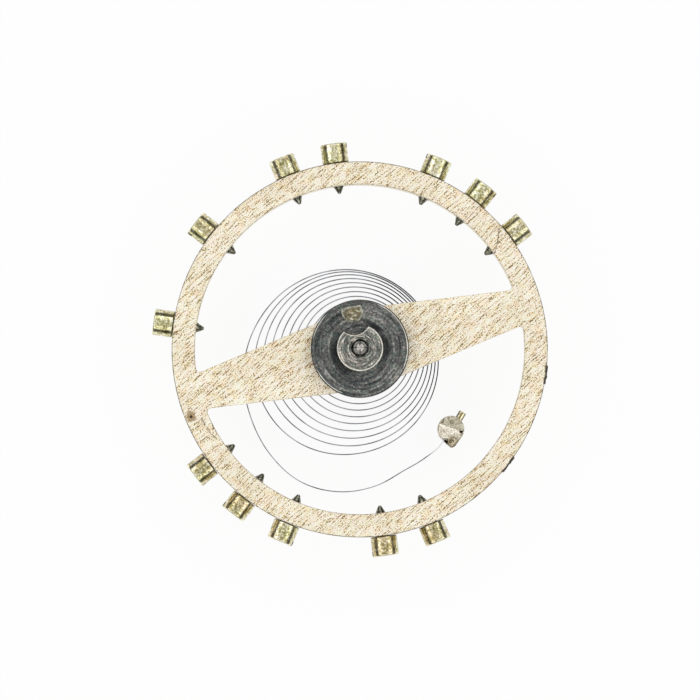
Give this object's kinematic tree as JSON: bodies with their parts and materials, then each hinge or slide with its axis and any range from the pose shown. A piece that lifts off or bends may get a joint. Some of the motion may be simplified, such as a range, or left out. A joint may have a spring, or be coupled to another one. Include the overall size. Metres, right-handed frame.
{
  "type": "balance wheel",
  "caption": "Screwed balance wheel on its staff, with double roller, impulse jewel, flat hairspring, collet and stud.",
  "frame": {"origin": "tip of the staff's cock-side pivot", "axes": "+Z along the balance staff towards the dial side, where the double roller is; +X along the arms of the wheel"},
  "size_m": [0.0096, 0.0102, 0.0035],
  "materials": {
    "wheel": "grained",
    "screw": "turned and polished",
    "staff": "polished",
    "roller": "turned",
    "jewel": "polished",
    "shellac": "glossy",
    "collet": "turned",
    "pin": "satin",
    "spring": "blued",
    "stud": "rough"
  },
  "bodies": {
    "stud": {"hairspring_stud": "stud", "stud_pin": "pin", "hairspring": "spring"},
    "balance": {"balance_wheel": "wheel", "balance_staff": "staff", "double_roller": "roller", "impulse_jewel": "jewel", "jewel_shellac": "shellac", "hairspring_collet": "collet", "collet_pin": "pin", "balance_screw_01": "screw", "balance_screw_02": "screw", "balance_screw_03": "screw", "balance_screw_04": "screw", "balance_screw_05": "screw", "balance_screw_06": "screw", "balance_screw_07": "screw", "balance_screw_08": "screw", "balance_screw_09": "screw", "balance_screw_10": "screw", "balance_screw_11": "screw", "balance_screw_12": "screw"}
  },
  "joints": [
    {"name": "balance_oscillation", "type": "hinge", "parent": "stud", "child": "balance", "pos_m": [0, 0, 0], "axis": [0, 0, 1], "range_deg": [-270, 270], "stiffness_Nm_per_rad": 0.00000056, "deforming": ["hairspring"]}
  ]
}
